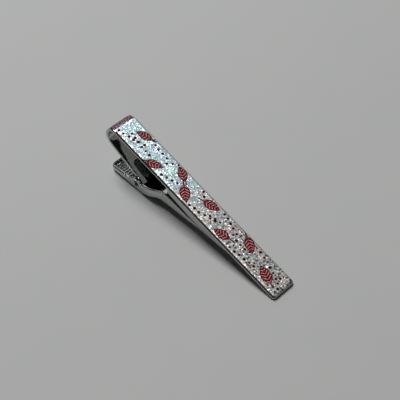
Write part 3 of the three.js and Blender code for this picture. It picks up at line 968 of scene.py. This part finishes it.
def metal(name, clean, dull, gloss, patch, pitch, wave_height, line_height):
    """A metal whose colour and gloss vary with the haze and the wiping lines; heights in millimetres."""
    material, tree, shader = new_material(name)
    marks = use_group(tree, wiped, {"Patch Size": patch, "Line Pitch": pitch})
    worn = calc("MULTIPLY_ADD", marks["Lines"], LINES_SHARE, product(marks["Haze"], HAZE_SHARE))
    relief = calc("MULTIPLY_ADD", marks["Waves"], wave_height, product(marks["Lines"], line_height))
    feed(shader, {
        "Base Color": blend_colour(worn, clean, dull),
        "Roughness": remap(worn, 0, 1, *gloss),
        "Normal": add("ShaderNodeBump", {"Height": relief, "Strength": 1, "Distance": MM})["Normal"],
        "Metallic": 1,
    })
    return material


chrome = metal(
    "chrome", clean=(0.50, 0.51, 0.50, 1), dull=(0.42, 0.43, 0.42, 1), gloss=(0.03, 0.07),
    patch=4, pitch=0.2, wave_height=0.008, line_height=0.0002)
pin_steel = metal(
    "pin_steel", clean=(0.10, 0.10, 0.105, 1), dull=(0.04, 0.04, 0.043, 1), gloss=(0.22, 0.4),
    patch=0.8, pitch=0.08, wave_height=0.01, line_height=0.004)
spring_steel = metal(
    "spring_steel", clean=(0.08, 0.08, 0.085, 1), dull=(0.04, 0.04, 0.043, 1), gloss=(0.12, 0.24),
    patch=2, pitch=0.12, wave_height=0.02, line_height=0.003)
print("metals:", chrome.name, pin_steel.name, spring_steel.name)

# %% [markdown]
# ## The print: leaves
# The film is printed with red leaves. A leaf is a lens shape in its own small frame: the place on the film
# is moved to the leaf's middle and turned, and then half its width at each point along it is known. From
# that come its fill, a dark outline and midrib, a stem, and slanting veins that are paler than the ink.

# %% Leaf group
MOTIF = {"Place": ("place", (0, 0, 0)), "Middle": ("place", (0, 0, 0)), "Turn": ("value", 0)}
LEAF_SKEW, LEAST_SKEW = 0.22, 0.3
INK_EDGE = 0.04
OUTLINE_INSET, OUTLINE = 0.1, (0.08, 0.16)
MIDRIB = (0.05, 0.12)
STEM = (0.1, 0.2)
STEM_MIDDLE, STEM_HALF, STEM_FADE = 1.2, 0.2, 0.05
VEIN_PITCH, VEIN_SLANT = 0.72, 0.75
VEIN_CREST, VEIN_INSET = (0.45, 0.9), (0.15, 0.3)


def own_place(given):
    """The place on the film as seen from a motif: moved to its middle, and then turned and split."""
    moved = vector("SUBTRACT", given["Place"], given["Middle"])
    inputs = {"Vector": moved, "Angle": given["Turn"]}
    turned = add("ShaderNodeVectorRotate", inputs, rotation_type="Z_AXIS")["Vector"]
    return moved, parts(turned)


leaf, given, out = new_group(
    "leaf_print",
    {**MOTIF, "Length": ("value", 4.5), "Width": ("value", 2.2)},
    {"Ink": "value", "Dark": "value", "Vein": "value"},
)
moved, split = own_place(given)
lengthwise, sideways = split["X"], calc("ABSOLUTE", split["Y"])
share = calc("DIVIDE", lengthwise, product(given["Length"], 0.5))
swell = calc("SUBTRACT", 1, product(share, share))
skew = calc("MAXIMUM", calc("MULTIPLY_ADD", share, -LEAF_SKEW, 1), LEAST_SKEW)
half_leaf = product(swell, skew, product(given["Width"], 0.5))
inside = calc("SUBTRACT", half_leaf, sideways)
ink = remap(inside, -INK_EDGE, INK_EDGE)
from_outline = calc("ABSOLUTE", calc("SUBTRACT", inside, OUTLINE_INSET))
outline = product(within(from_outline, *OUTLINE), ink)
midrib = product(within(sideways, *MIDRIB), ink)
past_end = calc("SUBTRACT", calc("ABSOLUTE", calc("ADD", share, STEM_MIDDLE)), STEM_HALF)
stem = product(within(sideways, *STEM), within(past_end, 0, STEM_FADE))
slant = calc("MULTIPLY_ADD", sideways, -VEIN_SLANT, lengthwise)
wave = calc("SINE", product(slant, 2 * math.pi / VEIN_PITCH))
vein = product(remap(wave, *VEIN_CREST), remap(inside, *VEIN_INSET))
feed(out, {"Ink": strongest(ink, stem), "Dark": strongest(outline, midrib, stem), "Vein": vein})
print("group leaf_print:", len(leaf.nodes), "nodes")

# %% [markdown]
# ## The print: trails of dots
# Between the leaves run curved trails of dark dots. A trail is an arc: the place on the film is turned so
# that the trail starts at angle zero round the arc's middle, the nearest dot is found by rounding the way
# along the arc, and the distance to it gives the dot and the pale ring that surrounds it. A random number
# for each dot moves it a little and changes its size, as in hand printing.

# %% Dot trail group
DOT_SPACING = 1.35
DOT_STRAY = 0.12
DOT_SIZES = (0.27, 0.38)
DOT_EDGE = (-0.05, 0.06)
RING_AWAY, RING = 0.12, (0.05, 0.14)
NUMBER_STEP = 1.7

trail, given, out = new_group(
    "dot_trail",
    {**MOTIF, "Radius": ("value", 10), "Count": ("value", 6), "Spacing": ("value", DOT_SPACING),
     "Seed": ("value", 0)},
    {"Dot": "value", "Ring": "value"},
)
moved, split = own_place(given)
round_about = product(calc("ARCTAN2", split["Y"], split["X"]), given["Radius"])
steps_along = calc("DIVIDE", round_about, given["Spacing"])
last = calc("SUBTRACT", given["Count"], 1)
number = calc("MINIMUM", calc("MAXIMUM", calc("ROUND", steps_along), 0), last)
seed = calc("MULTIPLY_ADD", number, NUMBER_STEP, given["Seed"])
chances = parts(add("ShaderNodeTexWhiteNoise", {"W": seed}, noise_dimensions="1D")["Color"])
along = product(calc("SUBTRACT", steps_along, number), given["Spacing"])
along = calc("ADD", along, remap(chances["X"], 0, 1, -DOT_STRAY, DOT_STRAY))
from_middle = add("ShaderNodeVectorMath", {0: moved}, operation="LENGTH")["Value"]
across = calc("SUBTRACT", from_middle, calc("ABSOLUTE", given["Radius"]))
across = calc("ADD", across, remap(chances["Y"], 0, 1, -DOT_STRAY, DOT_STRAY))
square = calc("ADD", product(along, along), product(across, across))
size = remap(chances["Z"], 0, 1, *DOT_SIZES)
from_rim = calc("SUBTRACT", calc("SQRT", square), size)
from_ring = calc("ABSOLUTE", calc("SUBTRACT", from_rim, RING_AWAY))
feed(out, {"Dot": within(from_rim, *DOT_EDGE), "Ring": within(from_ring, *RING)})
print("group dot_trail:", len(trail.nodes), "nodes")

# %% [markdown]
# ## The print: glitter
# Under the ink the film is a holographic glitter: flakes a fifth of a millimetre across, each at its own
# tilt. It is a bright cool silver near the fold, and greyer and grainier towards the tip, in patches of
# rose and green. Voronoi cells are the flakes: each cell's random colour gives its brightness and the
# direction in which it leans. A coarser noise gathers dark and bright crumbs among them. The brightest
# flakes and crumbs are painted glints: they are mixed to near white, standing for flakes that catch the
# lamp.

# %% Glitter group and its tints
COOL_TINTS = ((0.51, 0.74, 0.79, 1), (0.56, 0.78, 0.72, 1), (0.54, 0.69, 0.83, 1))
TIP_TINTS = ((0.92, 0.70, 0.62, 1), (0.56, 0.69, 0.65, 1))
TINT_CHANGE = (16, 42)
DRIFT_SCALE = 0.35
# Between these two values of the drifting noise, one tint gives way to the next.
GREEN_DRIFT, BLUE_DRIFT, TIP_DRIFT = (0.38, 0.62), (0.42, 0.68), (0.44, 0.54)

glitter, given, out = new_group(
    "glitter_film",
    {"Place": ("place", (0, 0, 0)), "Flake": ("value", 0.2)},
    {"Colour": "colour", "Lean": "place", "Spark": "value"},
)
drifts = parts(noise(given["Place"], DRIFT_SCALE, detail=2, dimensions="2D")["Color"])
towards_tip = remap(parts(given["Place"])["X"], *TINT_CHANGE, kind="SMOOTHSTEP")
cool = blend_colour(remap(drifts["X"], *GREEN_DRIFT), COOL_TINTS[0], COOL_TINTS[1])
cool = blend_colour(remap(drifts["Y"], *BLUE_DRIFT), cool, COOL_TINTS[2])
tip_tint = blend_colour(remap(drifts["Z"], *TIP_DRIFT), *TIP_TINTS)
base = blend_colour(towards_tip, cool, tip_tint)
print("glitter tints:", len(COOL_TINTS), "near the fold and", len(TIP_TINTS), "towards the tip")

# %% Flakes, crumbs and painted glints
CRUMB_SCALE = 1.7
DARK_FLAKE = (0.035, 0.036, 0.036, 1)
# Painted glints: the sparks are mixed towards this near white, standing for flakes that catch the lamp.
GLINT_WHITE = (0.97, 0.96, 0.95, 1)
DARK_FLAKES, GLINT_FLAKES = (0.1, 0.8), (0.86, 0.95)
DARK_CRUMBS, GLINT_CRUMBS = (0.485, 0.52), (0.53, 0.56)
# How much stronger each is at the tip, and how strong it is at the fold.
FLAKE_SHADE, CRUMB_SHADE, SPARK_GAIN = (0.42, 0.16), (0.9, 0.05), (0.76, 0.24)
EVEN_LEAN = (0.5, 0.5, 0.5)

cell_inputs = {"Vector": given["Place"], "Scale": calc("DIVIDE", 1, given["Flake"])}
cell = add("ShaderNodeTexVoronoi", cell_inputs, voronoi_dimensions="2D")["Color"]
chances = parts(cell)
crumbs = parts(noise(given["Place"], CRUMB_SCALE, detail=1, dimensions="2D")["Color"])
flake_shade, crumb_shade, spark_gain = (
    calc("MULTIPLY_ADD", towards_tip, *strength) for strength in (FLAKE_SHADE, CRUMB_SHADE, SPARK_GAIN))
flake_shade = product(remap(chances["X"], *DARK_FLAKES, 1, 0), flake_shade)
crumb_shade = product(remap(crumbs["X"], *DARK_CRUMBS, 1, 0), crumb_shade)
tinted = blend_colour(strongest(flake_shade, crumb_shade), base, DARK_FLAKE)
# Painted glints: the brightest flakes and crumbs, which the colour below turns near white.
spark = strongest(remap(chances["Y"], *GLINT_FLAKES), remap(crumbs["Y"], *GLINT_CRUMBS))
feed(out, {
    "Colour": blend_colour(product(spark, spark_gain), tinted, GLINT_WHITE),
    "Lean": vector("SUBTRACT", cell, EVEN_LEAN),
    "Spark": spark,
})
print("group glitter_film:", len(glitter.nodes), "nodes")

# %% [markdown]
# ## The print: layout
# The layout is a short list of our own: where each leaf lies along and across the film, how it is turned,
# its length and width, and where each trail of dots starts, which way it heads, how it bends and how many
# dots it has. Each entry places its group once, and the masks of all of them are then put together.

# %% Leaves and trails
LEAVES = (
    (7.6, 1.5, 200, 4.4, 2.1), (14.6, -1.7, 28, 4.6, 2.2), (20.3, 1.7, 158, 4.2, 2.2),
    (24.4, -1.2, 325, 4.8, 2.5), (30.2, 1.4, 18, 4.6, 2.3), (36.8, -1.6, 195, 4.4, 2.2),
    (42.6, 1.5, 335, 4.4, 2.3), (49.8, -0.7, 165, 4.8, 2.5),
)
TRAILS = (
    (3.0, -2.1, 8, 22, 6), (9.8, 2.3, -20, 12, 5), (5.4, -0.4, -12, 30, 6), (16.2, 0.6, 62, -5, 3),
    (17.6, -2.2, 12, 14, 4), (27.2, -2.3, 6, 20, 6), (26.6, 2.4, -40, 6, 3), (33.6, 2.3, -8, -26, 5),
    (38.6, 0.2, -18, 9, 5), (40.2, -2.4, 4, 40, 6), (45.4, 2.2, -10, -30, 6), (52.4, 1.2, -70, 7, 3),
    (32.0, -0.6, 10, 18, 3),
)
SEED_STEP = 13.1

print_film, tree, shader = new_material("print_film")
spot = new_node(tree, "ShaderNodeAttribute", attribute_name="print_place").outputs["Vector"]
leaves = [
    use_group(tree, leaf, {
        "Place": spot, "Middle": (u, v, 0), "Turn": -math.radians(turn), "Length": length, "Width": width})
    for u, v, turn, length, width in LEAVES
]
trails = []
for order, (u, v, heading, radius, count) in enumerate(TRAILS):
    heading = math.radians(heading)
    centre = (u - radius * math.sin(heading), v + radius * math.cos(heading), 0)
    start = math.atan2(v - centre[1], u - centre[0])
    trails.append(use_group(tree, trail, {
        "Place": spot, "Middle": centre, "Turn": -start, "Radius": radius, "Count": count,
        "Spacing": DOT_SPACING, "Seed": order * SEED_STEP}))
ink, dark, vein = (strongest(*(made[mask] for made in leaves)) for mask in ("Ink", "Dark", "Vein"))
dot, ring = (strongest(*(made[mask] for made in trails)) for mask in ("Dot", "Ring"))
print("print:", len(LEAVES), "leaves and", sum(count for *_, count in TRAILS), "dots")

# %% [markdown]
# ## The printed film: colours
# The print goes on in layers. First comes a painted highlight: a pale band along the near edge, where
# the rounded edge catches the lamp. Then the inks go on one after another, as in printing: pale rings, red
# leaves with their veins and dark lines, dots, and a dark red band where the film goes round the fold. A
# fine grain breaks most of them up, because ink never covers glitter evenly.

# %% Inks and a painted highlight on the glitter
FLAKE_SIZE = 0.22
GRAIN_SCALE = 5
BAND_END = (2.3, 2.5)
# Painted highlight: a pale band along the near edge, standing for the light that the film's rounded edge
# catches.
NEAR_EDGE_HIGHLIGHT = (-2.3, -2.6)
HIGHLIGHT_COVER, RING_COVER, DARK_COVER, VEIN_COVER = 0.75, 0.45, 0.85, (0.15, 0.9)
HIGHLIGHT_PAINT = (0.93, 0.87, 0.80, 1)
RING_INK = (0.88, 0.76, 0.76, 1)
VEIN_INK = (0.9, 0.56, 0.54, 1)
DARK_INK = (0.03, 0.003, 0.005, 1)
RED_INKS = ((0.26, 0.008, 0.013, 1), (0.08, 0.003, 0.006, 1))
DOT_INKS = ((0.018, 0.003, 0.005, 1), (0.06, 0.004, 0.008, 1))
BAND_INKS = ((0.04, 0.003, 0.006, 1), (0.15, 0.008, 0.013, 1))
# Between these two values of the grain, an ink or the painted highlight sets in, or an ink changes to its
# second shade.
BAND_GRAIN, HIGHLIGHT_GRAIN, VEIN_GRAIN = (0.3, 0.42), (0.38, 0.54), (0.4, 0.52)
RED_SHADES, DOT_SHADES, BAND_SHADES = (0.35, 0.65), (0.4, 0.6), (0.45, 0.62)

flakes = use_group(tree, glitter, {"Place": spot, "Flake": FLAKE_SIZE})
grain = noise(spot, GRAIN_SCALE, detail=2, dimensions="2D")["Fac"]
spots = parts(spot)
band = product(within(spots["X"], *BAND_END), remap(grain, *BAND_GRAIN))
# Painted highlight along the near edge, broken up by the grain.
painted_highlight = product(remap(spots["Y"], *NEAR_EDGE_HIGHLIGHT), remap(grain, *HIGHLIGHT_GRAIN))
free = calc("SUBTRACT", 1, ink)
dot = product(dot, free)
colour = flakes["Colour"]
for cover, layer in (
    # The first layer is the painted highlight along the near edge; the others are inks.
    (product(painted_highlight, HIGHLIGHT_COVER), HIGHLIGHT_PAINT),
    (product(ring, free, RING_COVER), RING_INK),
    (ink, blend_colour(remap(grain, *RED_SHADES), *RED_INKS)),
    (product(vein, remap(grain, *VEIN_GRAIN, *VEIN_COVER)), VEIN_INK),
    (product(dark, DARK_COVER), DARK_INK),
    (dot, blend_colour(remap(grain, *DOT_SHADES), *DOT_INKS)),
    (band, blend_colour(remap(grain, *BAND_SHADES), *BAND_INKS)),
):
    colour = blend_colour(cover, colour, layer)
print("inks laid over the glitter:", len(tree.nodes), "nodes so far")

# %% [markdown]
# ## The printed film: surface
# Bare glitter is partly metal, leans flake by flake and has a thin clear coat. Ink is duller and has none
# of these. Fine pimples all over break up the reflections. What is the same all over the film is set on
# the shader itself.

# %% Gloss and relief of the film
BARE_METAL, BARE_COAT, BARE_LEAN = 0.6, 0.25, 0.35
FLAKE_ROUGHNESS, SPARK_ROUGHNESS = 0.48, 0.3
PIMPLE_SCALE = 6000
PIMPLE_STRENGTH, PIMPLE_HEIGHT = 0.3, 0.03
SPECULAR, COAT_ROUGHNESS = 0.1, 0.12

bare = calc("SUBTRACT", 1, strongest(ink, dot, band))
lean_inputs = {0: flakes["Lean"], "Scale": product(bare, BARE_LEAN)}
leaning = add("ShaderNodeVectorMath", lean_inputs, operation="SCALE")["Vector"]
pimples = noise(object_place(tree), PIMPLE_SCALE, detail=1)["Fac"]
bump_inputs = {"Height": pimples, "Strength": PIMPLE_STRENGTH, "Distance": PIMPLE_HEIGHT * MM}
raised = add("ShaderNodeBump", bump_inputs)["Normal"]
feed(shader, {
    "Base Color": colour,
    "Metallic": product(bare, BARE_METAL),
    "Coat Weight": product(bare, BARE_COAT),
    "Roughness": remap(flakes["Spark"], 0, 1, FLAKE_ROUGHNESS, SPARK_ROUGHNESS),
    "Normal": vector("NORMALIZE", vector("ADD", raised, leaning)),
    "Specular IOR Level": SPECULAR,
    "Coat Roughness": COAT_ROUGHNESS,
})
print("film material:", len(tree.nodes), "nodes")

# %% [markdown]
# ## Floor, world and lamps
# The clip lies on a plain pale grey table. One soft lamp overhead, leaning towards the fold, gives nearly
# all the light, so the shadow falls close under the near side of the bar. Two dim panels at the far side
# are there only to be mirrored, by the thumb pad and by the rounded edges. The room above is dim, which is
# what gives chrome its black: the world is pale at the horizon and dark overhead.

# %% Floor
FLOOR_SIZE = 3
FLOOR_GREYS = ((0.44, 0.45, 0.445, 1), (0.46, 0.465, 0.455, 1))
FLOOR_ROUGHNESS, FLOOR_SPECULAR = 0.7, 0.2
SPECK_SCALE = 60

bpy.ops.object.select_all(action="DESELECT")
bpy.ops.mesh.primitive_plane_add(size=FLOOR_SIZE)
table = begin("table")
select_only(table)
table_grey, tree, shader = new_material("table_grey")
speck = noise(object_place(tree), SPECK_SCALE, detail=3)["Fac"]
feed(shader, {
    "Base Color": blend_colour(speck, *FLOOR_GREYS),
    "Roughness": FLOOR_ROUGHNESS,
    "Specular IOR Level": FLOOR_SPECULAR,
})
table.data.materials.append(table_grey)
print("floor:", FLOOR_SIZE, "m wide")

# %% World
HORIZON = (0.22, 0.222, 0.22, 1)
CEILING = (0.03, 0.03, 0.031, 1)
DUSK = (0.03, 0.22)

world = bpy.data.worlds.new("room")
bpy.context.scene.world = world
world.use_nodes = True
tree = world.node_tree
height = parts(new_node(tree, "ShaderNodeTexCoord").outputs["Generated"])["Z"]
above_horizon = remap(height, *DUSK, kind="SMOOTHSTEP")
feed(tree.nodes["Background"], {"Color": blend_colour(above_horizon, HORIZON, CEILING)})
bpy.context.scene.view_settings.view_transform = "Standard"
print("world:", len(tree.nodes), "nodes")

# %% Lamps
LAMP_DISTANCE = 1.1


def soft_lamp(name, direction, size, power):
    """An area lamp that looks at the clip from a direction; size in metres, power in watts."""
    data = bpy.data.lights.new(name, "AREA")
    data.shape = "RECTANGLE"
    data.size, data.size_y = size
    data.energy = power
    lamp = bpy.data.objects.new(name, data)
    direction = Vector(direction).normalized()
    lamp.location = direction * LAMP_DISTANCE
    lamp.rotation_mode = "QUATERNION"
    lamp.rotation_quaternion = direction.to_track_quat("Z", "Y")
    bpy.context.scene.collection.objects.link(lamp)


soft_lamp("key", direction=(-0.52, 0.09, 1), size=(0.42, 0.5), power=11.2)
soft_lamp("panel", direction=(-0.46, 0.44, 0.77), size=(0.45, 0.45), power=0.035)
soft_lamp("side_panel", direction=(-0.8, 0.43, 0.41), size=(0.6, 0.45), power=0.65)
print("lamps:", [light.name for light in bpy.data.lights])

# %% [markdown]
# ## Riding on the frame
# Each piece rides on the body that carries it, so it moves with the clip's hinge, and the imported part
# it stands for is hidden. The spring is the only piece that crosses the hinge: it rides on neither body
# and stays where it was drawn, with its place kept in its mesh.

for piece, body, node, slot, finish in (
    (folded_bar, "bar", "front_bar", "chrome", chrome),
    (film, "bar", "face_film", "printed_film", print_film),
    (pin, "bar", "hinge_pin", "pin_steel", pin_steel),
    (spring, None, "leaf_spring", "spring_steel", spring_steel),
    (lever, "lever", "clasp_lever", "chrome", chrome),
):
    piece.data.materials.clear()
    piece.data.materials.append(finish)
    if body:
        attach(piece, body)
    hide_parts(node)
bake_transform(spring)
